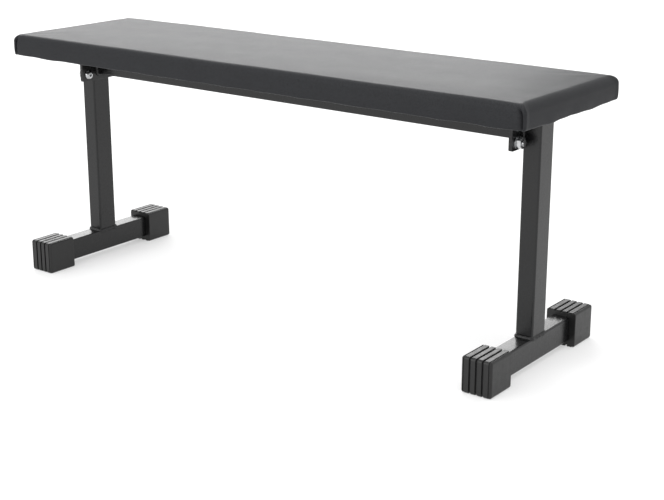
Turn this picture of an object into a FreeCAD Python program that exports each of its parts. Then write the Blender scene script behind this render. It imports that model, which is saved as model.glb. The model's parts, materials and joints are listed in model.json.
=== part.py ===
"""Flat weight bench: a padded board on a bolted steel frame with two T-shaped legs.

Frame: +X runs along the bench, +Y across it, +Z up. The origin is on the floor,
under the middle of the bench. Sizes are in millimetres.
"""
import FreeCAD, Part
import os

V = FreeCAD.Vector

# ---------------------------------------------------------------- overall sizes
BENCH_HEIGHT = 440.0          # floor to the top of the pad
PAD_LENGTH = 1060.0
PAD_WIDTH = 290.0
LEG_INSET = 56.0              # from the pad's end to the middle of the upright
FOOT_LENGTH = 318.0           # over the rubber caps

# ---------------------------------------------------------------- pad
BOARD_THICKNESS = 12.0
BOARD_CORNER_RADIUS = 24.0    # cut well back, to leave room for the folds of the cover
FOAM_THICKNESS = 24.0
COVER_THICKNESS = 1.0
PAD_CORNER_RADIUS = 9.0       # seen from above
PAD_TOP_RADIUS = 11.0         # rolled edge round the top
COVER_TURN_IN = 38.0          # margin of the cover stapled under the board
CLOTH_GAP = 0.5               # between the turned-in margin and the dust cloth

STAPLE_PITCH = 85.0
STAPLE_INSET = 22.0           # from the pad's side to the staple's crown
STAPLE_CROWN = 11.0
STAPLE_LEG = 7.0
STAPLE_WIRE = 0.8

# ---------------------------------------------------------------- steel sections
TUBE_NARROW = 30.0
TUBE_WIDE = 40.0
TUBE_WALL = 2.0
TUBE_CORNER = 3.0
PLATE_THICKNESS = 3.0
PLATE_CORNER = 3.0
PLATE_DROP = 10.0             # reach of the flange plates below the rail
PLATE_MARGIN = 15.0           # from a bolt's middle to the plate's ends
BRACKET_THICKNESS = 6.0
BRACKET_WIDTH = 40.0
BRACKET_END_MARGIN = 45.0     # from the pad's side to the bracket's end
BRACKET_INSET = 132.0         # from the rail's end to the middle of the bracket

# ---------------------------------------------------------------- welds
WELD_RADIUS = 4.0
WELD_SINK = 2.5               # depth of the bead's middle behind a flush face
BRACKET_WELD_LEG = 3.5

# ---------------------------------------------------------------- flange bolts, M10
FLANGE_BOLT_DIAMETER = 10.0
FLANGE_HOLE_CLEARANCE = 1.0
FLANGE_BOLT_ROOM = 3.0        # between a washer and the weld beside the upright
FLANGE_EDGE_DISTANCE = 12.0   # from a bolt's middle to the plate's long edges
FLANGE_HEAD_DIAMETER = 17.5
FLANGE_HEAD_HEIGHT = 5.5
FLANGE_HEAD_CROWN = 8.0       # across the flat top of the domed head
FLANGE_HEAD_RIM = 0.8         # straight rim under the dome
FLANGE_SOCKET_HEX = 6.0
FLANGE_SOCKET_DEPTH = 3.1
FLANGE_NUT_HEX = 16.0
FLANGE_NUT_HEIGHT = 8.0
FLANGE_WASHER_DIAMETER = 20.0
FLANGE_WASHER_THICKNESS = 2.0
FLANGE_STUB = 3.0             # thread standing out of the nut
THREAD_CLEARANCE = 0.1        # on the radius, between a bolt and its nut
HEX_CHAMFER = 0.05            # share of the width across flats

# ---------------------------------------------------------------- pad screws, M8
SCREW_DIAMETER = 8.0
SCREW_HOLE_CLEARANCE = 1.0
SCREW_MARGIN = 20.0           # from the bracket's end to the screw
SCREW_HEX = 13.0
SCREW_HEAD_HEIGHT = 5.3
SCREW_WASHER_DIAMETER = 16.0
SCREW_WASHER_THICKNESS = 1.6
TEE_NUT_FLANGE = 22.0
TEE_NUT_FLANGE_THICKNESS = 1.5
TEE_NUT_BARREL = 10.0
TEE_NUT_LENGTH = 9.0
TEE_NUT_CLEARANCE = 0.2

# ---------------------------------------------------------------- plastic and rubber
PLUG_HEAD = 3.0
PLUG_DEPTH = 14.0
PLUG_CLEARANCE = 0.15
PLUG_EDGE = 1.2

CAP_LENGTH = 58.5
CAP_SIDE_WALL = 11.0
CAP_END_WALL = 10.0
CAP_FLOOR = 9.0               # rubber under the foot tube
CAP_ROOF = 9.0                # rubber over the foot tube
CAP_EDGE = 4.5
CAP_MOUTH_EDGE = 0.8
CAP_SOCKET_CLEARANCE = 0.1
GROOVE_WIDTH = 3.0
GROOVE_DEPTH = 3.0
EDGE_GROOVE_WIDTH = 1.8       # the shallow pair beside the rounded sides
EDGE_GROOVE_DEPTH = 1.6
EDGE_GROOVE_INSET = 4.0       # from the cap's side to the middle of a shallow groove
RIB_EDGE = 0.8

# ---------------------------------------------------------------- heights and places
PAD_THICKNESS = 2 * COVER_THICKNESS + BOARD_THICKNESS + FOAM_THICKNESS
PAD_BOTTOM = BENCH_HEIGHT - PAD_THICKNESS
BOARD_BOTTOM = PAD_BOTTOM + COVER_THICKNESS
FOAM_BOTTOM = BOARD_BOTTOM + BOARD_THICKNESS
FOAM_TOP = BENCH_HEIGHT - COVER_THICKNESS
RAIL_TOP = PAD_BOTTOM - BRACKET_THICKNESS
RAIL_BOTTOM = RAIL_TOP - TUBE_WIDE
PLATE_BOTTOM = RAIL_BOTTOM - PLATE_DROP
FOOT_BOTTOM = CAP_FLOOR
FOOT_TOP = FOOT_BOTTOM + TUBE_WIDE
CAP_HEIGHT = CAP_FLOOR + TUBE_WIDE + CAP_ROOF

LEG_X = PAD_LENGTH / 2 - LEG_INSET
UPRIGHT_INNER_X = LEG_X - TUBE_NARROW / 2
LEG_FLANGE_INNER_X = UPRIGHT_INNER_X - PLATE_THICKNESS
RAIL_END_X = LEG_FLANGE_INNER_X - PLATE_THICKNESS
BRACKET_X = RAIL_END_X - BRACKET_INSET
BRACKET_LENGTH = PAD_WIDTH - 2 * BRACKET_END_MARGIN
SCREW_Y = BRACKET_LENGTH / 2 - SCREW_MARGIN
FLANGE_BOLT_Y = TUBE_WIDE / 2 + WELD_RADIUS + FLANGE_BOLT_ROOM + FLANGE_WASHER_DIAMETER / 2
PLATE_WIDTH = 2 * (FLANGE_BOLT_Y + PLATE_MARGIN)
FOOT_TUBE_HALF = FOOT_LENGTH / 2 - CAP_END_WALL
CAP_MOUTH_Y = FOOT_LENGTH / 2 - CAP_LENGTH
CAP_WIDTH = TUBE_NARROW + 2 * CAP_SIDE_WALL
GROOVE_PITCH = (CAP_WIDTH / 2 - EDGE_GROOVE_INSET) / 2

SIDES = {"left": -1, "right": 1}
ENDS = {"front": -1, "rear": 1}


# ---------------------------------------------------------------- basic shapes
def box(x0, x1, y0, y1, z0, z1):
    """Box between two corners, given in any order along each axis."""
    low = V(min(x0, x1), min(y0, y1), min(z0, z1))
    return Part.makeBox(abs(x1 - x0), abs(y1 - y0), abs(z1 - z0), low)


def centred_box(width_x, width_y, z0, z1, centre_x=0.0, centre_y=0.0):
    half_x = width_x / 2
    half_y = width_y / 2
    return box(centre_x - half_x, centre_x + half_x, centre_y - half_y, centre_y + half_y, z0, z1)


def edges_along(shape, axis, keep=lambda middle: True):
    """Straight edges parallel to an axis whose middle point passes the test."""
    found = []
    for edge in shape.Edges:
        if len(edge.Vertexes) != 2:
            continue
        run = edge.Vertexes[1].Point - edge.Vertexes[0].Point
        if run.cross(axis).Length < 1e-6 and keep(edge.CenterOfMass):
            found.append(edge)
    return found


def rounded(shape, radius, axis):
    """The shape with every edge along one axis rounded."""
    return shape.makeFillet(radius, edges_along(shape, axis))


def cylinder(diameter, start, end):
    run = end - start
    return Part.makeCylinder(diameter / 2, run.Length, start, run)


def hexagon(across_flats, start, end, turn=0.0):
    """Hexagonal prism from start to end, turned about its axis, with its corners chamfered."""
    run = end - start
    corner_radius = across_flats / 3 ** 0.5
    spoke = V(0, 0, corner_radius) if abs(run.z) < 1e-6 else V(corner_radius, 0, 0)
    points = [start + FreeCAD.Rotation(run, turn + 60.0 * step).multVec(spoke) for step in range(6)]
    prism = Part.Face(Part.makePolygon(points + points[:1])).extrude(run)
    drum = Part.makeCylinder(corner_radius, run.Length, start, run)
    rims = [edge for edge in drum.Edges if edge.Closed]
    return prism.common(drum.makeChamfer(HEX_CHAMFER * across_flats, rims))


# ---------------------------------------------------------------- steel tubes
def vertical_section(inset, z0, z1, centre_x):
    """Filled upright section, shrunk by an inset all round."""
    block = centred_box(TUBE_NARROW - 2 * inset, TUBE_WIDE - 2 * inset, z0, z1, centre_x)
    return rounded(block, max(TUBE_CORNER - inset, 0.5), V(0, 0, 1))


def foot_section(inset, half_length, centre_x):
    """Filled foot section lying across the bench."""
    half_x = TUBE_NARROW / 2 - inset
    block = box(centre_x - half_x, centre_x + half_x, -half_length, half_length,
                FOOT_BOTTOM + inset, FOOT_TOP - inset)
    return rounded(block, max(TUBE_CORNER - inset, 0.5), V(0, 1, 0))


def rail_section(inset, half_length):
    """Filled rail section lying along the bench."""
    half_y = TUBE_NARROW / 2 - inset
    block = box(-half_length, half_length, -half_y, half_y, RAIL_BOTTOM + inset, RAIL_TOP - inset)
    return rounded(block, max(TUBE_CORNER - inset, 0.5), V(1, 0, 0))


def upright(side):
    outline = vertical_section(0, FOOT_TOP, RAIL_TOP, side * LEG_X)
    return outline.cut(vertical_section(TUBE_WALL, FOOT_TOP, RAIL_TOP, side * LEG_X))


def foot_tube(side):
    outline = foot_section(0, FOOT_TUBE_HALF, side * LEG_X)
    return outline.cut(foot_section(TUBE_WALL, FOOT_TUBE_HALF, side * LEG_X))


def rail_tube():
    return rail_section(0, RAIL_END_X).cut(rail_section(TUBE_WALL, RAIL_END_X))


# ---------------------------------------------------------------- flange joints
def flange_bolt_places():
    """Y and Z of the four bolts that join a leg to the rail."""
    heights = (PLATE_BOTTOM + FLANGE_EDGE_DISTANCE, RAIL_TOP - FLANGE_EDGE_DISTANCE)
    return [(y, z) for z in heights for y in (-FLANGE_BOLT_Y, FLANGE_BOLT_Y)]


def flange_plate(side, inner_x):
    """Plate across the bench, with its inner face at inner_x."""
    outer_x = inner_x + PLATE_THICKNESS
    half = PLATE_WIDTH / 2
    plate = rounded(box(side * inner_x, side * outer_x, -half, half, PLATE_BOTTOM, RAIL_TOP),
                    PLATE_CORNER, V(1, 0, 0))
    for y, z in flange_bolt_places():
        hole = cylinder(FLANGE_BOLT_DIAMETER + FLANGE_HOLE_CLEARANCE,
                        V(side * inner_x, y, z), V(side * outer_x, y, z))
        plate = plate.cut(hole)
    return plate


def button_head(side, y, z):
    """Domed bolt head with a hexagon socket, its flat under side on the rail's end plate."""
    top = RAIL_END_X - FLANGE_HEAD_HEIGHT
    rim = RAIL_END_X - FLANGE_HEAD_RIM
    rim_radius = FLANGE_HEAD_DIAMETER / 2
    crown_radius = FLANGE_HEAD_CROWN / 2
    bulge_x = top + 0.29 * (rim - top)
    bulge_radius = crown_radius + 0.62 * (rim_radius - crown_radius)

    def at(x, radius):
        return V(side * x, y, z + radius)
    dome = Part.Arc(at(rim, rim_radius), at(bulge_x, bulge_radius), at(top, crown_radius)).toShape()
    rest = Part.makePolygon([at(top, crown_radius), at(top, 0), at(RAIL_END_X, 0),
                             at(RAIL_END_X, rim_radius), at(rim, rim_radius)])
    face = Part.Face(Part.Wire(Part.__sortEdges__([dome] + rest.Edges)))
    head = face.revolve(at(top, 0), V(1, 0, 0), 360)
    return head.cut(hexagon(FLANGE_SOCKET_HEX, at(top, 0), at(top + FLANGE_SOCKET_DEPTH, 0)))


def flange_fasteners(side):
    """Bolts with their heads on the rail's side, and a washer and nut each on the leg's side."""
    washer_end = UPRIGHT_INNER_X + FLANGE_WASHER_THICKNESS
    nut_end = washer_end + FLANGE_NUT_HEIGHT
    bore = FLANGE_BOLT_DIAMETER + 2 * THREAD_CLEARANCE
    groups = {"flange_bolts": [], "flange_washers": [], "flange_nuts": []}
    for y, z in flange_bolt_places():
        def at(x):
            return V(side * x, y, z)
        shank = cylinder(FLANGE_BOLT_DIAMETER, at(RAIL_END_X), at(nut_end + FLANGE_STUB))
        groups["flange_bolts"].append(shank.fuse(button_head(side, y, z)).removeSplitter())
        ring = cylinder(FLANGE_WASHER_DIAMETER, at(UPRIGHT_INNER_X), at(washer_end))
        groups["flange_washers"].append(ring.cut(cylinder(bore, at(UPRIGHT_INNER_X), at(washer_end))))
        nut = hexagon(FLANGE_NUT_HEX, at(washer_end), at(nut_end))
        groups["flange_nuts"].append(nut.cut(cylinder(bore, at(washer_end), at(nut_end))))
    return groups


# ---------------------------------------------------------------- welds
def bead_ring(corners):
    """Round bead that follows a closed loop of corner points."""
    bead = None
    for start, end in zip(corners, corners[1:] + corners[:1]):
        run = cylinder(2 * WELD_RADIUS, start, end)
        knob = Part.makeSphere(WELD_RADIUS, start)
        bead = run.fuse(knob) if bead is None else bead.fuse([run, knob])
    return bead


def base_weld(side):
    """Bead round the foot of an upright: fillets front and rear, flat beads on the flush sides."""
    half_x = TUBE_NARROW / 2 - WELD_SINK
    half_y = TUBE_WIDE / 2
    centre = side * LEG_X
    loop = [V(centre - half_x, -half_y, FOOT_TOP), V(centre + half_x, -half_y, FOOT_TOP),
            V(centre + half_x, half_y, FOOT_TOP), V(centre - half_x, half_y, FOOT_TOP)]
    bead = bead_ring(loop)
    bead = bead.cut(vertical_section(0, FOOT_BOTTOM, RAIL_TOP, centre))
    return bead.cut(foot_section(0, FOOT_TUBE_HALF, centre)).removeSplitter()


def rail_weld(side):
    """Fillet bead round the end of the rail, open at the top where the plate ends flush."""
    half_y = TUBE_NARROW / 2
    x = side * RAIL_END_X
    loop = [V(x, -half_y, RAIL_BOTTOM), V(x, half_y, RAIL_BOTTOM),
            V(x, half_y, RAIL_TOP), V(x, -half_y, RAIL_TOP)]
    bead = bead_ring(loop)
    reach = 2 * WELD_RADIUS
    bead = bead.cut(box(x, x + side * reach, -PLATE_WIDTH, PLATE_WIDTH, 0, BENCH_HEIGHT))
    bead = bead.cut(box(x - reach, x + reach, -PLATE_WIDTH, PLATE_WIDTH, RAIL_TOP, BENCH_HEIGHT))
    bead = bead.cut(box(x - reach, x + reach, -half_y, half_y, RAIL_TOP - TUBE_CORNER, RAIL_TOP))
    return bead.cut(rail_section(0, RAIL_END_X)).removeSplitter()


def flange_welds(side):
    """Two upright fillets between the leg's flange plate and the sides of the upright."""
    beads = []
    for end in ENDS.values():
        x = side * UPRIGHT_INNER_X
        y = end * TUBE_WIDE / 2
        bead = cylinder(2 * WELD_RADIUS, V(x, y, PLATE_BOTTOM + PLATE_CORNER),
                        V(x, y, RAIL_TOP - PLATE_CORNER))
        bead = bead.cut(vertical_section(0, FOOT_TOP, RAIL_TOP, side * LEG_X))
        plate_side = box(x, x - side * 2 * WELD_RADIUS, -PLATE_WIDTH, PLATE_WIDTH, 0, BENCH_HEIGHT)
        beads.append(bead.cut(plate_side).removeSplitter())
    return Part.makeCompound(beads)


def bracket_welds():
    """Small triangular fillets where the pad brackets cross the rail."""
    beads = []
    for side in SIDES.values():
        for end in ENDS.values():
            y = end * TUBE_NARROW / 2
            z = RAIL_TOP
            x0 = side * BRACKET_X - BRACKET_WIDTH / 2
            drop = z - BRACKET_WELD_LEG
            corners = [V(x0, y, z), V(x0, y + end * BRACKET_WELD_LEG, z), V(x0, y, drop), V(x0, y, z)]
            bead = Part.Face(Part.makePolygon(corners)).extrude(V(BRACKET_WIDTH, 0, 0))
            under_corner = box(x0, x0 + BRACKET_WIDTH, y, y - end * TUBE_CORNER, z, z - TUBE_CORNER)
            bead = bead.fuse(under_corner).cut(rail_section(0, RAIL_END_X)).removeSplitter()
            beads.append(bead)
    return Part.makeCompound(beads)


# ---------------------------------------------------------------- pad
def pad_block(inset, z0, z1, top_radius=0.0):
    """Solid with the pad's outline, shrunk by an inset, with an optional rolled top edge."""
    block = centred_box(PAD_LENGTH - 2 * inset, PAD_WIDTH - 2 * inset, z0, z1)
    block = rounded(block, PAD_CORNER_RADIUS - inset, V(0, 0, 1))
    if top_radius:
        rim = [edge for edge in block.Edges if abs(edge.BoundBox.ZMin - z1) < 1e-6]
        block = block.makeFillet(top_radius, rim)
    return block


def screw_places():
    return [(side * BRACKET_X, end * SCREW_Y) for side in SIDES.values() for end in ENDS.values()]


def drilled(shape, diameter, z0, z1):
    """The shape with a hole at every pad screw."""
    for x, y in screw_places():
        shape = shape.cut(cylinder(diameter, V(x, y, z0), V(x, y, z1)))
    return shape


def staple_places():
    """Place of each staple, and whether its crown runs along X."""
    places = []
    for length, width, along_x in ((PAD_LENGTH, PAD_WIDTH, True), (PAD_WIDTH, PAD_LENGTH, False)):
        across = width / 2 - STAPLE_INSET
        count = int((length - 2 * COVER_TURN_IN) / STAPLE_PITCH) + 1
        for step in range(count):
            along = (step - (count - 1) / 2) * STAPLE_PITCH
            for end in ENDS.values():
                spot = (along, end * across) if along_x else (end * across, along)
                places.append((spot, along_x))
    return places


def staple(spot, along_x):
    """Wire staple: a crown on the cover and two legs up into the board."""
    x, y = spot
    half = STAPLE_CROWN / 2
    wire = STAPLE_WIRE / 2
    long_x = half if along_x else wire
    long_y = wire if along_x else half
    body = box(x - long_x, x + long_x, y - long_y, y + long_y, PAD_BOTTOM - STAPLE_WIRE, PAD_BOTTOM)
    for end in ENDS.values():
        leg_x = x + end * (half - wire) if along_x else x
        leg_y = y if along_x else y + end * (half - wire)
        leg = centred_box(STAPLE_WIRE, STAPLE_WIRE, PAD_BOTTOM, PAD_BOTTOM + STAPLE_LEG, leg_x, leg_y)
        body = body.fuse(leg)
    return body.removeSplitter()


def pad_nodes():
    staples = Part.makeCompound([staple(spot, along_x) for spot, along_x in staple_places()])
    foam_radius = PAD_TOP_RADIUS - COVER_THICKNESS
    filling = pad_block(COVER_THICKNESS, BOARD_BOTTOM, FOAM_TOP, foam_radius)
    window = centred_box(PAD_LENGTH - 2 * COVER_TURN_IN, PAD_WIDTH - 2 * COVER_TURN_IN,
                         PAD_BOTTOM, BOARD_BOTTOM)
    cover = pad_block(0, PAD_BOTTOM, BENCH_HEIGHT, PAD_TOP_RADIUS).cut(filling).cut(window)
    cloth_margin = COVER_TURN_IN + CLOTH_GAP
    cloth = centred_box(PAD_LENGTH - 2 * cloth_margin, PAD_WIDTH - 2 * cloth_margin,
                        PAD_BOTTOM, BOARD_BOTTOM)
    foam = filling.common(centred_box(PAD_LENGTH, PAD_WIDTH, FOAM_BOTTOM, FOAM_TOP))
    board = centred_box(PAD_LENGTH - 2 * COVER_THICKNESS, PAD_WIDTH - 2 * COVER_THICKNESS,
                        BOARD_BOTTOM, FOAM_BOTTOM)
    board = rounded(board, BOARD_CORNER_RADIUS, V(0, 0, 1))
    barrel_hole = TEE_NUT_BARREL + 2 * TEE_NUT_CLEARANCE
    flange_hole = TEE_NUT_FLANGE + 2 * TEE_NUT_CLEARANCE
    flange_top = FOAM_BOTTOM + TEE_NUT_FLANGE_THICKNESS + TEE_NUT_CLEARANCE
    return {
        "pad_cover": cover.cut(staples),
        "pad_foam": drilled(foam, flange_hole, FOAM_BOTTOM, flange_top),
        "pad_board": drilled(board, barrel_hole, BOARD_BOTTOM, FOAM_BOTTOM).cut(staples),
        "pad_dust_cloth": drilled(cloth, barrel_hole, PAD_BOTTOM, BOARD_BOTTOM),
        "pad_staples": staples,
    }


def pad_fastener_nodes():
    """Screws from below through each bracket into tee nuts set in the board."""
    screws = []
    washers = []
    tee_nuts = []
    washer_bottom = RAIL_TOP - SCREW_WASHER_THICKNESS
    head_bottom = washer_bottom - SCREW_HEAD_HEIGHT
    barrel_bottom = FOAM_BOTTOM - TEE_NUT_LENGTH
    bore = SCREW_DIAMETER + 2 * THREAD_CLEARANCE
    for x, y in screw_places():
        def at(z):
            return V(x, y, z)
        shank = cylinder(SCREW_DIAMETER, at(washer_bottom), at(FOAM_BOTTOM))
        head = hexagon(SCREW_HEX, at(head_bottom), at(washer_bottom))
        screws.append(shank.fuse(head).removeSplitter())
        ring = cylinder(SCREW_WASHER_DIAMETER, at(washer_bottom), at(RAIL_TOP))
        washers.append(ring.cut(cylinder(bore, at(washer_bottom), at(RAIL_TOP))))
        flange_top = FOAM_BOTTOM + TEE_NUT_FLANGE_THICKNESS
        nut = cylinder(TEE_NUT_BARREL, at(barrel_bottom), at(FOAM_BOTTOM))
        nut = nut.fuse(cylinder(TEE_NUT_FLANGE, at(FOAM_BOTTOM), at(flange_top)))
        tee_nuts.append(nut.cut(cylinder(bore, at(barrel_bottom), at(flange_top))).removeSplitter())
    return {
        "pad_screws": Part.makeCompound(screws),
        "pad_screw_washers": Part.makeCompound(washers),
        "pad_tee_nuts": Part.makeCompound(tee_nuts),
    }


def pad_bracket(side):
    """Flat bar across the top of the rail, with a hole for each of its two screws."""
    bar = centred_box(BRACKET_WIDTH, BRACKET_LENGTH, RAIL_TOP, PAD_BOTTOM, side * BRACKET_X)
    bar = rounded(bar, PLATE_CORNER, V(0, 0, 1))
    return drilled(bar, SCREW_DIAMETER + SCREW_HOLE_CLEARANCE, RAIL_TOP, PAD_BOTTOM)


# ---------------------------------------------------------------- plugs and caps
def top_plug(side):
    """Plastic plug in the open top of an upright."""
    head = vertical_section(0, RAIL_TOP, RAIL_TOP + PLUG_HEAD, side * LEG_X)
    rim = [edge for edge in head.Edges if abs(edge.BoundBox.ZMin - RAIL_TOP - PLUG_HEAD) < 1e-6]
    head = head.makeFillet(PLUG_EDGE, rim)
    stem = vertical_section(TUBE_WALL + PLUG_CLEARANCE, RAIL_TOP - PLUG_DEPTH, RAIL_TOP, side * LEG_X)
    return head.fuse(stem).removeSplitter()


def groove_cutter(centre_x, offset, width, depth, end):
    """Slot over the roof, the end and the floor of a cap, in a plane across X."""
    outer = end * (FOOT_LENGTH / 2 + depth)
    mouth = end * (CAP_MOUTH_Y - depth)
    x0 = centre_x + offset - width / 2
    x1 = x0 + width
    slab = box(x0, x1, mouth, outer, -depth, CAP_HEIGHT + depth)
    core = box(x0, x1, mouth, end * (FOOT_LENGTH / 2 - depth), depth, CAP_HEIGHT - depth)
    outer_edges = edges_along(core, V(1, 0, 0), lambda middle: abs(middle.y) > CAP_MOUTH_Y)
    return slab.cut(core.makeFillet(CAP_EDGE - depth, outer_edges))


def rib(x0, x1, end):
    """Upright slice of a cap with the cap's outline and softened edges."""
    slab = box(x0, x1, end * CAP_MOUTH_Y, end * FOOT_LENGTH / 2, 0, CAP_HEIGHT)
    outer_edges = edges_along(slab, V(1, 0, 0), lambda middle: abs(middle.y) > CAP_MOUTH_Y + CAP_EDGE)
    slab = slab.makeFillet(CAP_EDGE, outer_edges)
    side_edges = [edge for edge in slab.Edges if edge.BoundBox.XLength < 1e-6]
    return slab.makeFillet(RIB_EDGE, side_edges)


def foot_cap(side, end):
    """Ribbed rubber cap pushed over one end of a foot tube."""
    centre = side * LEG_X
    half = CAP_WIDTH / 2
    mouth_y = end * CAP_MOUTH_Y
    block = box(centre - half, centre + half, end * FOOT_LENGTH / 2, mouth_y, 0, CAP_HEIGHT)

    def at_mouth(edge):
        return abs(edge.CenterOfMass.y - mouth_y) < 1e-6
    block = block.makeFillet(CAP_EDGE, [edge for edge in block.Edges if not at_mouth(edge)])
    block = block.makeFillet(CAP_MOUTH_EDGE, [edge for edge in block.Edges if at_mouth(edge)])
    ribbed_width = 4 * GROOVE_PITCH - EDGE_GROOVE_WIDTH
    block = block.cut(groove_cutter(centre, 0, ribbed_width, GROOVE_DEPTH, end))
    for step in (-2, 2):
        block = block.cut(groove_cutter(centre, step * GROOVE_PITCH, EDGE_GROOVE_WIDTH,
                                        EDGE_GROOVE_DEPTH, end))
    groove_half = GROOVE_WIDTH / 2
    inner = (groove_half, GROOVE_PITCH - groove_half)
    outer = (GROOVE_PITCH + groove_half, ribbed_width / 2)
    for near, far in (inner, outer):
        block = block.fuse([rib(centre + near, centre + far, end), rib(centre - far, centre - near, end)])
    return block.cut(foot_section(-CAP_SOCKET_CLEARANCE, FOOT_TUBE_HALF, centre)).removeSplitter()


# ---------------------------------------------------------------- assembly
def leg_nodes(name, side):
    """Every piece of one leg and of its bolted joint to the rail."""
    nodes = {
        name + "_upright": upright(side),
        name + "_foot_tube": foot_tube(side),
        name + "_base_weld": base_weld(side),
        name + "_leg_flange": flange_plate(side, LEG_FLANGE_INNER_X),
        name + "_flange_welds": flange_welds(side),
        name + "_top_plug": top_plug(side),
        name + "_rail_end_plate": flange_plate(side, RAIL_END_X),
        name + "_rail_weld": rail_weld(side),
        name + "_pad_bracket": pad_bracket(side),
    }
    for group, solids in flange_fasteners(side).items():
        nodes[name + "_" + group] = Part.makeCompound(solids)
    for end_name, end in ENDS.items():
        nodes[name + "_" + end_name + "_foot_cap"] = foot_cap(side, end)
    return nodes


def all_nodes():
    nodes = {"rail_tube": rail_tube(), "bracket_welds": bracket_welds()}
    nodes.update(pad_nodes())
    nodes.update(pad_fastener_nodes())
    for name, side in SIDES.items():
        nodes.update(leg_nodes(name, side))
    return nodes


os.makedirs("parts", exist_ok=True)
for node_name, shape in sorted(all_nodes().items()):
    shape.exportStep("parts/" + node_name + ".step")
    print(node_name, len(shape.Solids), "solids,", round(shape.Volume / 1000, 2), "cm3,", shape.isValid())
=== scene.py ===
import json
import math

import bpy
import numpy as np
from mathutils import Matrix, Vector, kdtree


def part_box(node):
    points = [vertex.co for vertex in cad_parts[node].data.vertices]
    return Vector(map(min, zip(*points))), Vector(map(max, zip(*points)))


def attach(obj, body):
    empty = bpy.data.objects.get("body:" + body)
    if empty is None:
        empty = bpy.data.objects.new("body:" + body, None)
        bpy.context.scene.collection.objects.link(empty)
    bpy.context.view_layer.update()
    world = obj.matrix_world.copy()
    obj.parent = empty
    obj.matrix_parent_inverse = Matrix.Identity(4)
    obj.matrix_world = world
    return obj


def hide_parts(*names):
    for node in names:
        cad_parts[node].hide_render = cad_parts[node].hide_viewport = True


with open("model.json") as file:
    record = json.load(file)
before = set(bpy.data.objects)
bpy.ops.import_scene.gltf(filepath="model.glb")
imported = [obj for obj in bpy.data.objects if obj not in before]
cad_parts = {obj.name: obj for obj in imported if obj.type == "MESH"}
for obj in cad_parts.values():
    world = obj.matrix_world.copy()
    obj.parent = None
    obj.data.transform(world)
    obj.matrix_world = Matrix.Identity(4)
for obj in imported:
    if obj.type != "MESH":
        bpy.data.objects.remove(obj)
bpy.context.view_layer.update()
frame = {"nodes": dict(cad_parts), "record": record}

BODY = "root"              # the bench has no moving parts, so everything rides on one body
scene = bpy.context.scene
for imported in list(bpy.data.materials):
    bpy.data.materials.remove(imported)      # leaves their names free for the finishes below


# ---------------------------------------------------------------- shader helpers
def new_material(name):
    """A material with its node tree and its Principled shader."""
    material = bpy.data.materials.new(name)
    material.use_nodes = True
    tree = material.node_tree
    return material, tree, tree.nodes["Principled BSDF"]


def node(tree, kind, inputs=None, **settings):
    """Adds a node. An input is a value, or another node's output socket."""
    made = tree.nodes.new(kind)
    for name, value in settings.items():
        setattr(made, name, value)
    for name, value in (inputs or {}).items():
        if isinstance(value, bpy.types.NodeSocket):
            tree.links.new(value, made.inputs[name])
        else:
            made.inputs[name].default_value = value
    return made


def object_coordinates(tree):
    """Object-space position, in metres."""
    return node(tree, "ShaderNodeTexCoord").outputs["Object"]


def noise(tree, coordinates, scale, detail=2.0, roughness=0.5):
    made = node(tree, "ShaderNodeTexNoise", {
        "Vector": coordinates, "Scale": scale, "Detail": detail, "Roughness": roughness})
    return made.outputs["Fac"]


def ramp(tree, factor, low, high):
    """Maps factor 0.3 to 0.7, where noise mostly lies, to low to high."""
    made = node(tree, "ShaderNodeMapRange", {
        "Value": factor, "From Min": 0.3, "From Max": 0.7, "To Min": low, "To Max": high})
    return made.outputs["Result"]


def blend_colour(tree, factor, dark, light):
    """Colour from dark at factor 0 to light at factor 1."""
    made = node(tree, "ShaderNodeMix", data_type="RGBA")
    for socket, value in ((made.inputs[0], factor), (made.inputs[6], dark), (made.inputs[7], light)):
        if isinstance(value, bpy.types.NodeSocket):
            tree.links.new(value, socket)
        else:
            socket.default_value = value
    return made.outputs[2]


def maths(tree, operation, first, second=0.0, clamp=False):
    """Result of a Math node. Each operand is a number or a socket."""
    made = node(tree, "ShaderNodeMath", operation=operation, use_clamp=clamp)
    for socket, value in zip(made.inputs, (first, second)):
        if isinstance(value, bpy.types.NodeSocket):
            tree.links.new(value, socket)
        else:
            socket.default_value = value
    return made.outputs[0]


def edge_mask(tree, radius, gain):
    """0 on open faces, rising to 1 on edges and corners within the radius, and the rounded normal."""
    soft = node(tree, "ShaderNodeBevel", {"Radius": radius}, samples=6)
    true = node(tree, "ShaderNodeNewGeometry")
    facing = node(tree, "ShaderNodeVectorMath", operation="DOT_PRODUCT")
    tree.links.new(soft.outputs["Normal"], facing.inputs[0])
    tree.links.new(true.outputs["Normal"], facing.inputs[1])
    turned = maths(tree, "SUBTRACT", 1.0, facing.outputs["Value"])
    return maths(tree, "MULTIPLY", turned, gain, clamp=True), soft.outputs["Normal"]


def bump(tree, height, distance, strength=1.0, normal=None):
    """Normal raised by a height map, on top of another normal where one is given."""
    made = node(tree, "ShaderNodeBump", {
        "Height": height, "Distance": distance, "Strength": strength})
    if normal is not None:
        tree.links.new(normal, made.inputs["Normal"])
    return made.outputs["Normal"]


def grey(level, tint=0.0):
    """Colour of a linear level, slightly blue for a positive tint."""
    return (level * (1 - tint), level * (1 - tint / 2), level * (1 + tint), 1.0)


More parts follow.
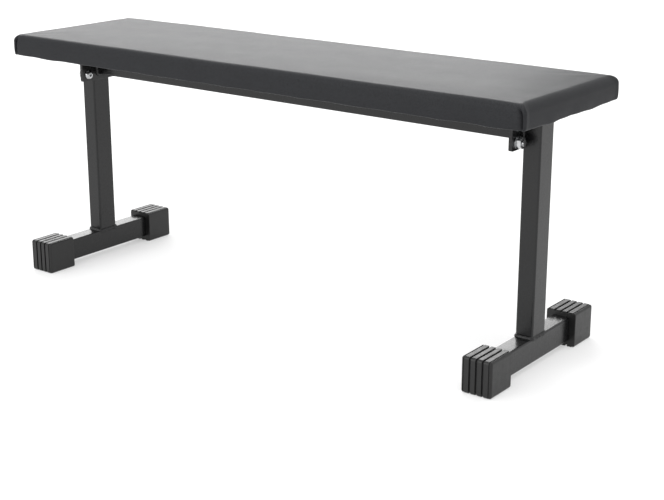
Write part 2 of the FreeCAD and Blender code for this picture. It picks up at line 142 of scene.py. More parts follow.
# ---------------------------------------------------------------- materials
def powder_coat():
    """Satin black powder coat: fine orange peel, uneven gloss, edges painted a little lighter, partly as
    rubbing and partly as a painted highlight.
    """
    material, tree, shader = new_material("black_powder_coat")
    where = object_coordinates(tree)
    edges, soft_normal = edge_mask(tree, 0.0012, 2.2)
    patchy = ramp(tree, noise(tree, where, 160.0, 3.0), 0.1, 0.7)
    # edges painted lighter: partly rubbed wear, partly a painted highlight along the edges
    wear_and_painted_highlight = maths(tree, "MULTIPLY", edges, patchy, clamp=True)
    mottled = blend_colour(tree, noise(tree, where, 24.0, 4.0), grey(0.0035, 0.04), grey(0.0065, 0.04))
    tree.links.new(blend_colour(tree, wear_and_painted_highlight, mottled, grey(0.07, 0.02)), shader.inputs["Base Color"])
    gloss = maths(tree, "ADD", ramp(tree, noise(tree, where, 55.0, 3.0), 0.20, 0.26),
                  ramp(tree, noise(tree, where, 2200.0, 1.0), 0.0, 0.05))
    tree.links.new(gloss, shader.inputs["Roughness"])
    peel = bump(tree, noise(tree, where, 520.0, 1.0), 0.00011, 0.55, soft_normal)
    tree.links.new(bump(tree, noise(tree, where, 2400.0, 2.0), 0.00003, 0.6, peel), shader.inputs["Normal"])
    shader.inputs["Specular IOR Level"].default_value = 0.40
    return material


def vinyl():
    """Black upholstery vinyl: pebbled leather grain with fine creases between the pebbles."""
    material, tree, shader = new_material("vinyl_cover")
    where = object_coordinates(tree)
    warp = node(tree, "ShaderNodeVectorMath", {
        0: node(tree, "ShaderNodeTexNoise", {"Vector": where, "Scale": 420.0}).outputs["Color"],
        1: (0.0011, 0.0011, 0.0011)}, operation="MULTIPLY")
    bent = node(tree, "ShaderNodeVectorMath", {0: where, 1: warp.outputs[0]}, operation="ADD")
    pebbles = node(tree, "ShaderNodeTexVoronoi", {"Vector": bent.outputs[0], "Scale": 820.0},
                   feature="F1").outputs["Distance"]
    creases = node(tree, "ShaderNodeTexVoronoi", {"Vector": bent.outputs[0], "Scale": 430.0},
                   feature="DISTANCE_TO_EDGE").outputs["Distance"]
    crease_depth = maths(tree, "MULTIPLY", creases, 6.0, clamp=True)
    tone = blend_colour(tree, noise(tree, where, 14.0, 5.0), grey(0.0265, 0.05), grey(0.0320, 0.05))
    # the creases between the pebbles painted darker: painted shade in the grain's grooves
    tree.links.new(blend_colour(tree, crease_depth, grey(0.020, 0.05), tone), shader.inputs["Base Color"])
    gloss = maths(tree, "ADD", ramp(tree, noise(tree, where, 30.0, 4.0), 0.385, 0.405),
                  ramp(tree, pebbles, 0.0, 0.03))
    tree.links.new(gloss, shader.inputs["Roughness"])
    grain = bump(tree, crease_depth, 0.00007, 0.6)
    grain = bump(tree, maths(tree, "SUBTRACT", 1.0, pebbles), 0.00006, 0.6, grain)
    tree.links.new(bump(tree, noise(tree, where, 3200.0, 1.0), 0.00002, 0.5, grain), shader.inputs["Normal"])
    shader.inputs["Specular IOR Level"].default_value = 0.06
    return material


def zinc():
    """Bright zinc plate over turned and cold-headed steel."""
    material, tree, shader = new_material("zinc")
    where = object_coordinates(tree)
    patches = noise(tree, where, 210.0, 4.0)
    tree.links.new(blend_colour(tree, patches, (0.36, 0.37, 0.39, 1), (0.56, 0.56, 0.55, 1)),
                   shader.inputs["Base Color"])
    tree.links.new(ramp(tree, noise(tree, where, 700.0, 3.0), 0.16, 0.26), shader.inputs["Roughness"])
    shader.inputs["Metallic"].default_value = 1.0
    _, soft_normal = edge_mask(tree, 0.0005, 1.0)
    tree.links.new(bump(tree, noise(tree, where, 1500.0, 3.0), 0.00002, 0.3, soft_normal),
                   shader.inputs["Normal"])
    return material


def rubber():
    """Moulded black rubber: matt, faintly grained, paler with dust and rubbing on its ridges."""
    material, tree, shader = new_material("black_rubber")
    where = object_coordinates(tree)
    edges, soft_normal = edge_mask(tree, 0.0008, 2.4)
    patchy = ramp(tree, noise(tree, where, 240.0, 4.0), 0.15, 0.8)
    dust = maths(tree, "MULTIPLY", edges, patchy, clamp=True)
    tone = blend_colour(tree, noise(tree, where, 45.0, 4.0), grey(0.004), grey(0.008))
    tree.links.new(blend_colour(tree, dust, tone, grey(0.06)), shader.inputs["Base Color"])
    tree.links.new(ramp(tree, noise(tree, where, 130.0, 3.0), 0.33, 0.43), shader.inputs["Roughness"])
    grain = bump(tree, noise(tree, where, 1900.0, 3.0), 0.00008, 0.6, soft_normal)
    tree.links.new(grain, shader.inputs["Normal"])
    shader.inputs["Specular IOR Level"].default_value = 0.42
    return material


def plastic():
    """Moulded black plastic with a spark-eroded texture."""
    material, tree, shader = new_material("black_plastic")
    where = object_coordinates(tree)
    tree.links.new(blend_colour(tree, noise(tree, where, 60.0, 3.0), grey(0.012), grey(0.018)),
                   shader.inputs["Base Color"])
    tree.links.new(ramp(tree, noise(tree, where, 300.0, 2.0), 0.42, 0.54), shader.inputs["Roughness"])
    _, soft_normal = edge_mask(tree, 0.0006, 1.0)
    tree.links.new(bump(tree, noise(tree, where, 2600.0, 2.0), 0.00006, 0.6, soft_normal),
                   shader.inputs["Normal"])
    return material


def plywood():
    """Poplar plywood: long grain on the faces, thin stacked plies at the edges."""
    material, tree, shader = new_material("plywood")
    where = object_coordinates(tree)
    stretched = node(tree, "ShaderNodeMapping", {"Vector": where, "Scale": (6.0, 90.0, 90.0)}).outputs[0]
    grain = noise(tree, stretched, 1.6, 8.0, 0.6)
    plies = node(tree, "ShaderNodeTexWave", {"Vector": where, "Scale": 66.0, "Distortion": 0.4},
                 bands_direction="Z").outputs["Fac"]
    wood = blend_colour(tree, grain, (0.33, 0.20, 0.10, 1), (0.62, 0.43, 0.25, 1))
    tree.links.new(blend_colour(tree, maths(tree, "MULTIPLY", plies, 0.45), wood, (0.24, 0.13, 0.06, 1)),
                   shader.inputs["Base Color"])
    tree.links.new(ramp(tree, grain, 0.55, 0.75), shader.inputs["Roughness"])
    tree.links.new(bump(tree, grain, 0.0002, 0.5), shader.inputs["Normal"])
    return material


def foam():
    """Open-cell polyurethane foam."""
    material, tree, shader = new_material("foam")
    where = object_coordinates(tree)
    cells = node(tree, "ShaderNodeTexVoronoi", {"Vector": where, "Scale": 1100.0}).outputs["Distance"]
    # the hollows of the cells painted darker: painted shade in the pores
    tree.links.new(blend_colour(tree, cells, (0.42, 0.38, 0.24, 1), (0.74, 0.70, 0.52, 1)),
                   shader.inputs["Base Color"])
    tree.links.new(ramp(tree, noise(tree, where, 90.0, 3.0), 0.85, 0.97), shader.inputs["Roughness"])
    tree.links.new(bump(tree, cells, 0.0004, 0.7), shader.inputs["Normal"])
    return material


def dust_cloth():
    """Black spun-bonded cloth with its grid of small heat-pressed dimples."""
    material, tree, shader = new_material("dust_cloth")
    where = object_coordinates(tree)
    fibres = noise(tree, where, 1300.0, 6.0, 0.7)
    waves = [node(tree, "ShaderNodeTexWave", {"Vector": where, "Scale": 190.0}, bands_direction=axis)
             for axis in ("X", "Y")]
    dimples = maths(tree, "MULTIPLY", waves[0].outputs["Fac"], waves[1].outputs["Fac"])
    tone = blend_colour(tree, fibres, grey(0.012), grey(0.040))
    tree.links.new(blend_colour(tree, dimples, tone, grey(0.010)), shader.inputs["Base Color"])
    tree.links.new(ramp(tree, fibres, 0.75, 0.95), shader.inputs["Roughness"])
    rough = bump(tree, fibres, 0.0001, 0.6)
    tree.links.new(bump(tree, maths(tree, "SUBTRACT", 1.0, dimples), 0.00015, 0.7, rough),
                   shader.inputs["Normal"])
    return material


FINISHES = {made.name: made for made in (
    powder_coat(), vinyl(), zinc(), rubber(), plastic(), plywood(), foam(), dust_cloth())}


# ---------------------------------------------------------------- the pad
PAD_LOW, PAD_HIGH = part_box("pad_cover")
HALF_LENGTH, HALF_WIDTH = PAD_HIGH.x, PAD_HIGH.y
FLOOR_OF_PAD, TOP_OF_PAD = PAD_LOW.z, PAD_HIGH.z
COVER = 0.001              # thickness of the vinyl
CORNER = 0.005             # corner radius seen from above
ROLL_LONG = 0.0095         # rolled top edge along the sides
ROLL_END = 0.0145          # and over the ends, where the foam is pulled over further
ROLL_BLEND = 0.014         # from one to the other, either way from the corner
LOWER_EDGE = 0.0026        # where the cover turns under the board
TURN_IN = 0.038            # margin stapled under the board
CROWN = 0.0032             # rise of the middle of the pad
SLIT = 0.0014              # from the middle of a corner to its fold, along the side
SLIT_DEPTH = 0.0058
SLIT_FLOOR = 0.0026        # width of the slit at its bottom
PANEL_RUN = 0.0085         # length of side that curves in to the slit
LIP = 0.0014               # rounding of the flap beside the slit
FLAP = 0.0008              # how far the folded flap stands proud
FLAP_RUN = 0.013           # and the length over which it eases back into the end
SLIT_TOP = 0.009           # height over which the slit opens, below the top edge
SLIT_FOOT = 0.005          # height over which it closes again, above the lower edge
HOOK = 0.0042              # how far the top of the fold leans away from the corner
HOOK_RUN = 0.030           # length of side that leans with it
BOARD_HEIGHT = 0.013       # top of the board above the underside of the pad
EDGE_WAVE_HEIGHT = 0.024   # height over which the lower edge's waves die out
FOAM_GAP = COVER + 0.0002  # foam's clearance from the outside of the cover
FOLD_GAP = 0.0045          # and how much more it has beside the folds
FOAM_CHAMFER = 0.018       # off the corners of the foam's underside

# Sine waves, each a height, a wavelength and a phase.
TOP_WAVES_ALONG = [(0.00016, 0.31, 0.4), (0.00010, 0.143, 2.1)]
TOP_WAVES_ACROSS = [(0.00013, 0.19, 1.3), (0.00007, 0.087, 0.2)]
EDGE_PULL = [(0.00035, 0.083, 0.6), (0.00022, 0.131, 2.6), (0.00012, 0.037, 1.1)]
EDGE_SAG = [(0.0004, 0.117, 0.9), (0.0003, 0.071, 2.2), (0.0002, 0.041, 0.5)]
SAG_AT_ENDS, SAG_AT_SIDES = 1.5, 0.45


def smooth(x):
    """0 below 0, 1 above 1, with an even S between them."""
    x = np.clip(x, 0.0, 1.0)
    return x * x * (3 - 2 * x)


def stations(total, dense, start, growth, widest):
    """Distances from a corner to the middle of a side: a dense list, then steps that grow."""
    found = list(dense)
    step = start
    while found[-1] + step < total - 0.5 * step:
        found.append(found[-1] + step)
        step = min(step * growth, widest)
    found[len(dense):] = [dense[-1] + (s - dense[-1]) * (total - dense[-1]) / (found[-1] + step - dense[-1])
                          for s in found[len(dense):]]
    return np.array(found + [total])


def side_points(along, half_a, half_n, inset, least_radius):
    """Points along half of one side of the rounded outline, from the middle of the corner (0) to
    the middle of the side: distance along the side, distance out, and the turn of the outward
    direction. along is measured on the outer outline, and keeps its share of shorter loops."""
    radius = np.maximum(CORNER - inset, least_radius)
    centre_a = half_a - inset - radius
    arc = math.pi * radius / 4
    share = (arc + centre_a) / (math.pi * CORNER / 4 + half_a - CORNER)
    run = along * share
    turn = (math.pi / 4) * (1 - np.minimum(run, arc) / arc)
    a = np.where(run < arc, centre_a + radius * np.sin(turn), centre_a * (1 - (run - arc) / centre_a))
    n = np.where(run < arc, half_n - inset - radius + radius * np.cos(turn), half_n - inset)
    return a, n, turn


def boundary(long_half, short_half):
    """Side, end and distance from the corner, for every station round the outline."""
    sides, ends, along = [], [], []
    for side in range(4):
        half = list(short_half if side % 2 else long_half)
        sides += [side] * (2 * len(half) - 2)
        ends += [-1] * (len(half) - 1) + [1] * (len(half) - 1)
        along += half[:-1] + half[:0:-1]
    return np.array(sides), np.array(ends), np.array(along)


def outline(loop, along, inset, least_radius):
    """Points (M, 2) and outward directions (M, 2) of one loop round the pad."""
    sides, ends, _ = loop
    is_end = sides % 2 == 1
    half_a = np.where(is_end, HALF_WIDTH, HALF_LENGTH)
    half_n = np.where(is_end, HALF_LENGTH, HALF_WIDTH)
    a, n, turn = side_points(along, half_a, half_n, inset, least_radius)
    tangents = np.array([(1, 0), (0, 1), (-1, 0), (0, -1)], float)[sides]
    normals = np.array([(0, -1), (1, 0), (0, 1), (-1, 0)], float)[sides]
    points = tangents * (ends * a)[:, None] + normals * n[:, None]
    outward = normals * np.cos(turn)[:, None] + tangents * (ends * np.sin(turn))[:, None]
    return points, outward


def filled_grid(edge, nx, ny):
    """Grid (ny + 1, nx + 1, 3) spanned between the four sides of a loop of points."""
    south = edge[:nx + 1]
    east = edge[nx:nx + ny + 1]
    north = edge[nx + ny:2 * nx + ny + 1][::-1]
    west = np.vstack([edge[2 * nx + ny:], edge[:1]])[::-1]
    u = ((south[:, 0] - south[0, 0]) / (south[-1, 0] - south[0, 0]))[None, :, None]
    v = ((east[:, 1] - east[0, 1]) / (east[-1, 1] - east[0, 1]))[:, None, None]
    ruled = (1 - v) * south[None] + v * north[None] + (1 - u) * west[:, None] + u * east[:, None]
    return ruled - ((1 - u) * (1 - v) * south[0] + u * (1 - v) * south[-1]
                    + (1 - u) * v * north[0] + u * v * north[-1])


def pad_surface(long_half, short_half, profile, closed):
    """Points, normals, faces, and per point the signed distance from the nearest corner's middle:
    positive along the sides, negative along the ends, and 1 inside the top and the closed floor."""
    loop = boundary(long_half, short_half)
    sides, _, along = loop
    signed = np.where(sides % 2 == 1, -along, along)
    roll = ROLL_END + (ROLL_LONG - ROLL_END) * smooth((signed + ROLL_BLEND) / (2 * ROLL_BLEND))
    nx, ny = 2 * (len(long_half) - 1), 2 * (len(short_half) - 1)
    up = np.array([0.0, 0.0, 1.0])

    rows = []
    for kind, value in profile:
        inset, z, tilt, least = np.zeros_like(along), None, 0.0, 0.003
        if kind == "roll":
            inset = roll * (1 - math.sin(value))
            z = TOP_OF_PAD - roll * (1 - math.cos(value))
            tilt = math.pi / 2 - value
        elif kind == "side":
            high = TOP_OF_PAD - roll
            z = high + (FLOOR_OF_PAD + LOWER_EDGE - high) * value
        elif kind == "level":
            z = np.full_like(along, value)
        elif kind == "lower":
            inset = np.full_like(along, LOWER_EDGE * (1 - math.cos(value)))
            z = np.full_like(along, FLOOR_OF_PAD + LOWER_EDGE * (1 - math.sin(value)))
            tilt = -value
        else:
            inset = np.full_like(along, value)
            z = np.full_like(along, FLOOR_OF_PAD)
            tilt = -math.pi / 2
            least = 0.009 - 0.008 * (value - LOWER_EDGE) / (TURN_IN - LOWER_EDGE)
        hook = HOOK * smooth((z - (TOP_OF_PAD - 0.018)) / 0.014)
        window = np.where(along < SLIT, smooth(along / SLIT), 1 - smooth((along - SLIT) / HOOK_RUN))
        moved = along + np.where(sides % 2 == 0, hook * window, 0.0)
        flat, outward = outline(loop, moved, inset, least)
        points = np.column_stack([flat, z])
        normals = np.column_stack([outward * math.cos(tilt), np.full(len(along), math.sin(tilt))])
        rows.append((points, normals))

    grid = filled_grid(rows[0][0], nx, ny)
    columns = np.arange(nx + 1)
    rim = np.concatenate([
        columns[:-1], nx + (nx + 1) * np.arange(ny),
        ny * (nx + 1) + columns[:0:-1], (nx + 1) * np.arange(ny, 0, -1)])
    count = (nx + 1) * (ny + 1)
    points = [grid.reshape(-1, 3)]
    normals = [np.tile(up, (count, 1))]
    corner_distance = [np.full(count, 1.0)]
    quads = [(j * (nx + 1) + i, j * (nx + 1) + i + 1, (j + 1) * (nx + 1) + i + 1, (j + 1) * (nx + 1) + i)
             for j in range(ny) for i in range(nx)]
    above = rim
    for row_points, row_normals in rows[1:]:
        below = count + np.arange(len(rim))
        count += len(rim)
        points.append(row_points)
        normals.append(row_normals)
        corner_distance.append(signed)
        quads += list(zip(above, below, np.roll(below, -1), np.roll(above, -1)))
        above = below
    if closed:
        floor = filled_grid(rows[-1][0], nx, ny)
        index = np.full((ny + 1) * (nx + 1), -1)
        index[rim] = above
        inside = index < 0
        index[inside] = count + np.arange(inside.sum())
        points.append(floor.reshape(-1, 3)[inside])
        normals.append(np.tile(-up, (inside.sum(), 1)))
        corner_distance.append(np.full(inside.sum(), 1.0))
        index = index.reshape(ny + 1, nx + 1)
        quads += [(index[j, i], index[j + 1, i], index[j + 1, i + 1], index[j, i + 1])
                  for j in range(ny) for i in range(nx)]
    return np.vstack(points), np.vstack(normals), quads, np.concatenate(corner_distance)


def mesh_object(name, points, faces):
    """A smooth-shaded mesh, linked to the scene."""
    mesh = bpy.data.meshes.new(name)
    mesh.from_pydata([tuple(p) for p in points], [], [tuple(int(i) for i in face) for face in faces])
    mesh.validate()
    mesh.update()
    mesh.shade_smooth()
    made = bpy.data.objects.new(name, mesh)
    scene.collection.objects.link(made)
    return made


def swelling():
    """How foam under the stretched cover swells, on a coarse copy: its points at rest and how far
    each one moves, from a cloth simulation with the board's part of the cover held still."""
    arc = math.pi * CORNER / 4
    total = [arc + half - CORNER for half in (HALF_LENGTH, HALF_WIDTH)]
    profile = [("roll", math.radians(a)) for a in (0, 30, 60, 90)]
    profile += [("side", u) for u in (0.3, 0.6, 1.0)]
    halves = [stations(t, [0.0, 0.006, 0.012], 0.007, 1.15, 0.013) for t in total]
    points, _, quads, _ = pad_surface(*halves, profile, closed=True)
    body = mesh_object("pad_simulation", points, quads)
    held = body.vertex_groups.new(name="board")
    held.add([i for i, p in enumerate(points) if p[2] < FLOOR_OF_PAD + BOARD_HEIGHT + 0.0005],
             1.0, "REPLACE")
    cloth = body.modifiers.new("Cloth", "CLOTH")
    cloth.settings.quality = 6
    cloth.settings.vertex_group_mass = "board"
    cloth.settings.use_pressure = True
    cloth.settings.uniform_pressure_force = 4.0
    cloth.settings.tension_stiffness = 40.0
    cloth.settings.compression_stiffness = 40.0
    cloth.settings.shear_stiffness = 20.0
    cloth.settings.effector_weights.gravity = 0.0
    for step in range(1, 21):
        scene.frame_set(step)
    evaluated = body.evaluated_get(bpy.context.evaluated_depsgraph_get())
    moved = np.array([v.co for v in evaluated.data.vertices]) - points
    bpy.data.objects.remove(body)
    scene.frame_set(1)
    return points, moved


def swollen(points):
    """Displacement of each point: the simulated swelling, scaled to the crown that the pad has."""
    coarse, moved = swelling()
    reach = np.percentile(moved[:, 2], 98)
    print("swelling before scaling: %.1f mm" % (reach * 1000))
    moved = moved * (CROWN / max(reach, 1e-6))
    length = np.linalg.norm(moved, axis=1, keepdims=True)
    moved = moved * np.minimum(1, 1.15 * CROWN / np.maximum(length, 1e-9))
    tree = kdtree.KDTree(len(coarse))
    for i, p in enumerate(coarse):
        tree.insert(p, i)
    tree.balance()
    spread = 0.008
    found = np.zeros_like(points)
    for k, p in enumerate(points):
        near = tree.find_n(p, 8)
        weights = np.array([math.exp(-(distance / spread) ** 2) + 1e-9 for _, _, distance in near])
        found[k] = weights @ moved[[i for _, i, _ in near]] / weights.sum()
    return found


def waves(x, terms):
    """Height of the sum of sine waves at x."""
    return sum(h * np.sin(2 * math.pi * x / w + p) for h, w, p in terms)


def fold_offset(points, signed):
    """Corner folds: along each side the cover turns in to a slit, and the flap from the end stands
    proud beside it."""
    z = points[:, 2]
    across = signed - SLIT
    panel = -SLIT_DEPTH * np.clip(1 - np.maximum(across - SLIT_FLOOR, 0) / PANEL_RUN, 0, 1) ** 3
    edge = np.clip(-across / LIP, 0, 1)
    flap = -SLIT_DEPTH + (SLIT_DEPTH + FLAP) * np.sqrt(np.clip(1 - (1 - edge) ** 2, 0, 1))
    flap -= FLAP * smooth((-across - LIP) / FLAP_RUN)
    offset = np.where(across > 0, panel, flap)
    offset *= smooth((TOP_OF_PAD - 0.0025 - z) / SLIT_TOP)
    offset *= 0.2 + 0.8 * smooth((z - FLOOR_OF_PAD) / SLIT_FOOT)
    under = smooth((HALF_WIDTH - np.abs(points[:, 1]) - LOWER_EDGE) / 0.006)
    return np.where(z < FLOOR_OF_PAD + 1e-5, offset * (1 - under), offset)


def shaped(points, normals, signed):
    """The cover as it sits: swollen, softly uneven, wavy along its lower edge, folded at corners."""
    x, y, z = points.T
    out = points + swollen(points)
    lying = normals[:, 2] > 0.99
    ripple = waves(x + 0.35 * y, TOP_WAVES_ALONG) + waves(y - 0.22 * x, TOP_WAVES_ACROSS)
    out[:, 2] += ripple * smooth((z - (TOP_OF_PAD - 0.02)) / 0.02) * np.where(normals[:, 2] < -0.1, 0, 1)

    standing = ~lying & (normals[:, 2] > -0.99)
    ends = np.abs(x) > HALF_LENGTH - 0.004
    run = np.where(ends, y + 0.07 * np.sign(x), x + 0.13 * np.sign(y))
    low = 1 - smooth((z - FLOOR_OF_PAD) / EDGE_WAVE_HEIGHT)
    corner_room = smooth((np.abs(signed) - 0.012) / 0.03)
    out += normals * (standing * low * corner_room * (waves(run, EDGE_PULL) + 0.0004))[:, None]
    sag = np.maximum(waves(run, EDGE_SAG) + 0.0003, 0) * np.where(ends, SAG_AT_ENDS, SAG_AT_SIDES)
    out[:, 2] -= np.where(normals[:, 2] < 0.3, low * corner_room * sag, 0)
    middle = smooth((z - FLOOR_OF_PAD) / 0.014) * smooth((TOP_OF_PAD - z) / 0.014)
    out += normals * (standing * middle * 0.0007)[:, None]

    out += normals * np.where(np.abs(signed) < 0.2, fold_offset(points, signed), 0)[:, None]
    return out


def upholstered_pad():
    """The vinyl cover as one closed shell, and the foam inside it."""
    arc = math.pi * CORNER / 4
    near_slit = [0.0, 0.0004, 0.0008, 0.0011, SLIT, 0.0021, 0.0028, 0.0034,
                 SLIT + SLIT_FLOOR, 0.0046, 0.0053, 0.0061, 0.0070, 0.0080, 0.0091]
    long_half = stations(arc + HALF_LENGTH - CORNER, near_slit, 0.0010, 1.14, 0.0085)
    short_half = stations(arc + HALF_WIDTH - CORNER, [0.0, 0.0003, 0.0007], 0.0007, 1.13, 0.0085)
    roll = [("roll", math.radians(a)) for a in np.linspace(0, 90, 12)]
    profile = roll + [("side", u) for u in np.linspace(0, 1, 13)[1:]]
    profile += [("lower", math.radians(a)) for a in (18, 36, 54, 72, 90)]
    profile += [("under", d) for d in (0.0040, 0.0060, 0.0085, 0.0120, 0.0170, 0.0230, 0.0300, TURN_IN)]
    points, normals, quads, signed = pad_surface(long_half, short_half, profile, closed=False)
    cover = mesh_object("pad_upholstery", shaped(points, normals, signed), quads)
    skin = cover.modifiers.new("thickness", "SOLIDIFY")
    skin.thickness = COVER
    skin.offset = -1.0
    cover.data.materials.append(FINISHES["vinyl_cover"])
    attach(cover, BODY)
    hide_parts("pad_cover")

    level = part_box("pad_foam")[0].z
    profile = roll[::2] + [("side", u) for u in np.linspace(0, 0.5, 6)[1:]] + [("level", level)]
    coarse_long = stations(arc + HALF_LENGTH - CORNER, near_slit[::2], 0.0022, 1.16, 0.014)
    coarse_short = stations(arc + HALF_WIDTH - CORNER, [0.0], 0.0022, 1.16, 0.014)
    points, normals, quads, signed = pad_surface(coarse_long, coarse_short, profile, closed=True)
    gap = FOAM_GAP + FOLD_GAP * (1 - smooth((np.abs(signed) - 0.005) / 0.008))
    put = shaped(points, normals, signed) - normals * (gap * (normals[:, 2] > -0.5))[:, None]
    put[:, 2] = np.maximum(put[:, 2], level)
    past_chamfer = np.abs(put[:, 0]) - HALF_LENGTH + np.abs(put[:, 1]) - HALF_WIDTH + FOAM_CHAMFER
    past_chamfer = np.maximum(past_chamfer, 0) * (normals[:, 2] < -0.5)
    put[:, :2] -= np.sign(put[:, :2]) * past_chamfer[:, None] / 2
    block = mesh_object("foam_block", put, quads)
    block.data.materials.append(FINISHES["foam"])
    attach(block, BODY)
    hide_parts("pad_foam")


upholstered_pad()


# ---------------------------------------------------------------- weld beads
WELD = 0.0040              # radius of the beads
BRACKET_WELD = 0.0034      # and of the smaller ones at the cross bars
RIPPLE = 0.0017            # length of one ripple
WELD_SUNK = 0.0025         # how far the beads at an upright's foot lie inside its outline


def rounded_path(corners, radius, closed, step):
    """Points along straight runs joined by arcs, about one step apart."""
    corners = [Vector(c) for c in corners]
    count = len(corners)
    path = []
    for k, corner in enumerate(corners):
        if not closed and k in (0, count - 1):
            path.append(corner)
            continue
        before = (corners[k - 1] - corner).normalized()
        after = (corners[(k + 1) % count] - corner).normalized()
        start, end = corner + before * radius, corner + after * radius
        for t in np.linspace(0, 1, 7):
            path.append(start * (1 - t) ** 2 + corner * 2 * t * (1 - t) + end * t ** 2)
    if closed:
        path.append(path[0])
    lengths = np.concatenate([[0], np.cumsum([(b - a).length for a, b in zip(path, path[1:])])])
    places = np.linspace(0, lengths[-1], max(4, round(lengths[-1] / step)) + 1)
    coordinates = np.array(path)
    even = np.column_stack([np.interp(places, lengths, coordinates[:, c]) for c in range(3)])
    return (even[:-1] if closed else even), lengths[-1]


def bead(corners, up, closed, seed, radius=WELD, turn_radius=0.004):
    """Points and faces of a welded bead: overlapping crescents laid along a path. up is the
    direction in which the bead stands proud."""
    path, length = rounded_path(corners, turn_radius, closed, 0.00034)
    count, around = len(path), 16
    following = np.roll(path, -1, 0) - np.roll(path, 1, 0)
    if not closed:
        following[0], following[-1] = path[1] - path[0], path[-1] - path[-2]
    following /= np.linalg.norm(following, axis=1, keepdims=True)
    up = np.array(up, float)
    side = np.cross(following, up)
    side /= np.linalg.norm(side, axis=1, keepdims=True)
    over = np.cross(side, following)
    ripples = max(1, round(length / RIPPLE))
    travelled = np.arange(count) * ripples / (count if closed else count - 1)
    random = np.random.default_rng(seed)
    wander = 1 + 0.05 * np.interp(travelled, np.arange(ripples + 1),
                                  np.append(random.normal(0, 1, ripples), 0).clip(-1.5, 1.5))
    points = []
    for k in range(around):
        angle = 2 * math.pi * k / around
        crescent = travelled + 0.55 * (1 - math.cos(angle)) * 0.5
        share = crescent - np.floor(crescent)
        size = radius * wander * (0.82 + 0.18 * np.sqrt(np.clip(1 - (2 * share - 1) ** 2, 0, 1)))
        if not closed:
            size = size * np.clip(np.minimum(travelled, travelled[-1] - travelled) / 1.2 + 0.35, 0, 1)
        points.append(path + (side * math.sin(angle) + over * math.cos(angle)) * size[:, None])
    points = np.stack(points, 1).reshape(-1, 3)
    quads = []
    for i in range(count if closed else count - 1):
        j = (i + 1) % count
        quads += [(i * around + k, i * around + (k + 1) % around,
                   j * around + (k + 1) % around, j * around + k) for k in range(around)]
    if not closed:
        quads += [tuple(range(around - 1, -1, -1)), tuple((count - 1) * around + k for k in range(around))]
    return points, quads


def weld_piece(name, beads, replaced):
    """One piece of the beads, in place of the CAD node replaced."""
    points, faces = [], []
    for bead_points, bead_faces in beads:
        start = sum(len(p) for p in points)
        points.append(bead_points)
        faces += [tuple(start + i for i in face) for face in bead_faces]
    made = mesh_object(name, np.vstack(points), faces)
    made.data.materials.append(FINISHES["black_powder_coat"])
    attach(made, BODY)
    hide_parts(replaced)


def weld_beads():
    """Beads round the uprights' feet, under the rail's ends, beside the flanges and at the bars."""
    foot_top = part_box("right_foot_tube")[1].z
    post_low, post_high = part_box("right_upright")
    rail_low, rail_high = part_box("rail_tube")
    flange_low, flange_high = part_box("right_leg_flange")
    for side, name in ((-1, "left"), (1, "right")):
        inner, outer = side * (post_low.x + WELD_SUNK), side * (post_high.x - WELD_SUNK)
        loop = [(inner, -post_high.y, foot_top), (outer, -post_high.y, foot_top),
                (outer, post_high.y, foot_top), (inner, post_high.y, foot_top)]
        weld_piece(name + "_base_bead", [bead(loop, (0, 0, 1), True, 3 + side, WELD * 1.2)],
                   name + "_base_weld")
        x = side * rail_high.x
        under = [(x, rail_low.y, rail_high.z - 0.006), (x, rail_low.y, rail_low.z),
                 (x, rail_high.y, rail_low.z), (x, rail_high.y, rail_high.z - 0.006)]
        weld_piece(name + "_rail_bead", [bead(under, (-side, 0, 0), False, 7 + side, WELD * 1.04)],
                   name + "_rail_weld")
        x = side * post_low.x
        upright = [bead([(x, end * post_high.y, flange_low.z + 0.004),
                         (x, end * post_high.y, (flange_low.z + flange_high.z) / 2),
                         (x, end * post_high.y, flange_high.z - 0.004)], (side, 0, 0), False, 11 + side + end)
                   for end in (-1, 1)]
        weld_piece(name + "_flange_beads", upright, name + "_flange_welds")
    crossing = []
    for name in ("left_pad_bracket", "right_pad_bracket"):
        low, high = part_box(name)
        for y in (rail_low.y, rail_high.y):
            runs = [(low.x + 0.001, y, low.z - 0.0004), ((low.x + high.x) / 2, y, low.z - 0.0004),
                    (high.x - 0.001, y, low.z - 0.0004)]
            crossing.append(bead(runs, (0, 0, -1), False, round(y * 1000) + 40, BRACKET_WELD))
    weld_piece("bracket_beads", crossing, "bracket_welds")


weld_beads()


# ---------------------------------------------------------------- the CAD nodes that stay
for part in frame["record"]["subparts"]:
    carried = frame["nodes"][part["node"]]
    carried.data.materials.clear()
    carried.data.materials.append(FINISHES[part["material_slot"]])


# ---------------------------------------------------------------- floor, light and camera
FLOOR_RADIUS = 40.0
MIDDLE = (0, 0, 0.3)       # what the softboxes at the sides are turned towards
CAMERA_PLACE = (1.423, -1.750, 0.812)
CAMERA_YAW, CAMERA_PITCH = math.radians(37.33), math.radians(16.27)
SENSOR, LENS, SHIFT = 36.0, 73.6, -0.05


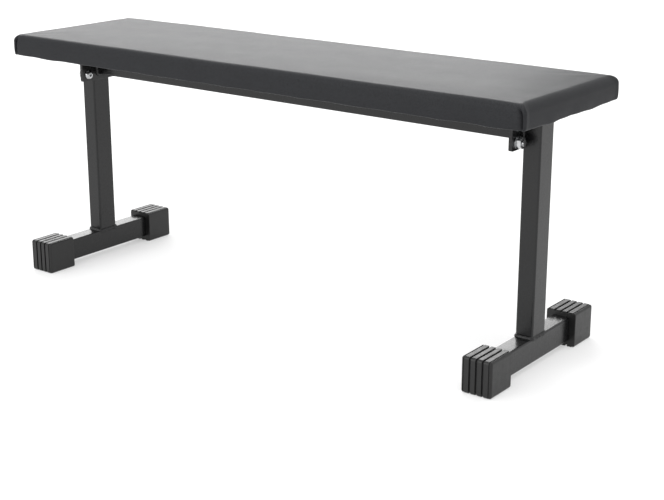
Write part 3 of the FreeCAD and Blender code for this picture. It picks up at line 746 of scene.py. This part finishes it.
def floor():
    """A pale round floor, lit evenly enough for only the feet to leave a soft shadow."""
    material, tree, shader = new_material("studio_floor")
    where = object_coordinates(tree)
    tone = blend_colour(tree, noise(tree, where, 3.0, 2.0), grey(0.50), grey(0.53))
    tree.links.new(tone, shader.inputs["Base Color"])
    shader.inputs["Roughness"].default_value = 0.75
    shader.inputs["Emission Color"].default_value = (1, 1, 1, 1)
    shader.inputs["Emission Strength"].default_value = 0.44
    shader.inputs["Specular IOR Level"].default_value = 0.2
    turns = np.linspace(0, 2 * math.pi, 65)[:-1]
    ring = [(FLOOR_RADIUS * math.cos(a), FLOOR_RADIUS * math.sin(a), 0.0) for a in turns]
    made = mesh_object("studio_floor_plane", ring, [tuple(range(len(ring)))])
    made.data.materials.append(material)


def softbox(name, place, aim, width, height, power):
    """A rectangular lamp turned towards aim. Power is in watts."""
    light = bpy.data.lights.new(name, "AREA")
    light.shape = "RECTANGLE"
    light.size, light.size_y, light.energy = width, height, power
    made = bpy.data.objects.new(name, light)
    made.location = place
    made.rotation_euler = (Vector(aim) - Vector(place)).to_track_quat("-Z", "Y").to_euler()
    scene.collection.objects.link(made)


def studio():
    """White surroundings, a broad softbox behind and weaker ones elsewhere."""
    world = bpy.data.worlds.new("studio")
    world.use_nodes = True
    world.node_tree.nodes["Background"].inputs["Color"].default_value = (1, 1, 1, 1)
    world.node_tree.nodes["Background"].inputs["Strength"].default_value = 1.0
    scene.world = world
    softbox("back", (-3.6, 3.3, 2.55), MIDDLE, 4.8, 2.8, 150)
    softbox("right", (3.4, 1.6, 1.2), MIDDLE, 2.2, 2.2, 7)
    softbox("front", (-1.0, -4.0, 1.6), MIDDLE, 3.0, 2.0, 60)
    softbox("top", (0.2, -0.4, 3.0), (0, 0, 0), 3.0, 2.4, 38)
    scene.view_settings.view_transform = "Standard"


def camera():
    """In front and to the right, a little above the pad."""
    data = bpy.data.cameras.new("view")
    data.sensor_width, data.lens, data.shift_y = SENSOR, LENS, SHIFT
    data.clip_start, data.clip_end = 0.05, 100
    made = bpy.data.objects.new("view", data)
    made.location = CAMERA_PLACE
    level = math.cos(CAMERA_PITCH)
    ahead = Vector((-math.sin(CAMERA_YAW) * level, math.cos(CAMERA_YAW) * level, -math.sin(CAMERA_PITCH)))
    made.rotation_euler = ahead.to_track_quat("-Z", "Y").to_euler()
    scene.collection.objects.link(made)
    scene.camera = made


floor()
studio()
camera()
